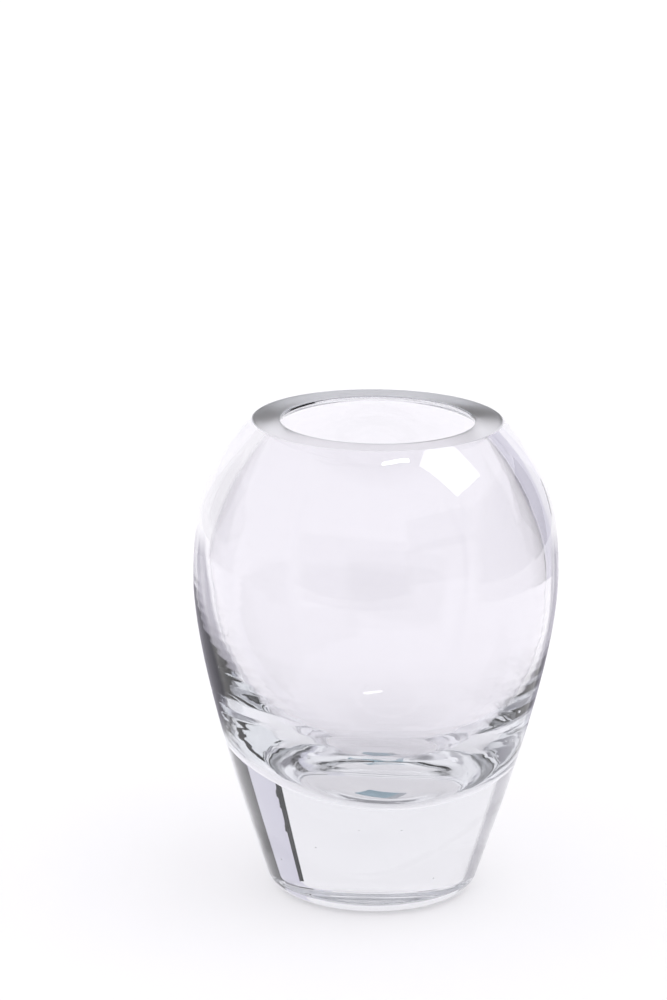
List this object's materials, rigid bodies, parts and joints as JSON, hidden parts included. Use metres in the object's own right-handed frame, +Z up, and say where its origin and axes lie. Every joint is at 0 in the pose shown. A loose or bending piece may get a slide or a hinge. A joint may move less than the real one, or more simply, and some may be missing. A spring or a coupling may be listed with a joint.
{
  "type": "glass bud vase",
  "caption": "Small clear glass vase with a round belly, a flat polished rim and a thick solid base, for a few cut stems in water.",
  "frame": {"origin": "centre of the foot's rest plane", "axes": "+Z up along the axis of the vase's outside, -Y towards the viewer, +X to the viewer's right, the side that the cavity drifts to"},
  "size_m": [0.098, 0.098, 0.13],
  "materials": {
    "clear_glass": "polished, clear, colourless with a faint cool tint",
    "label_paper": "matt coated paper, printed a plain grey-blue, no lettering"
  },
  "bodies": {
    "root": {"vase_body": "clear_glass", "foot_label": "label_paper"}
  },
  "joints": []
}
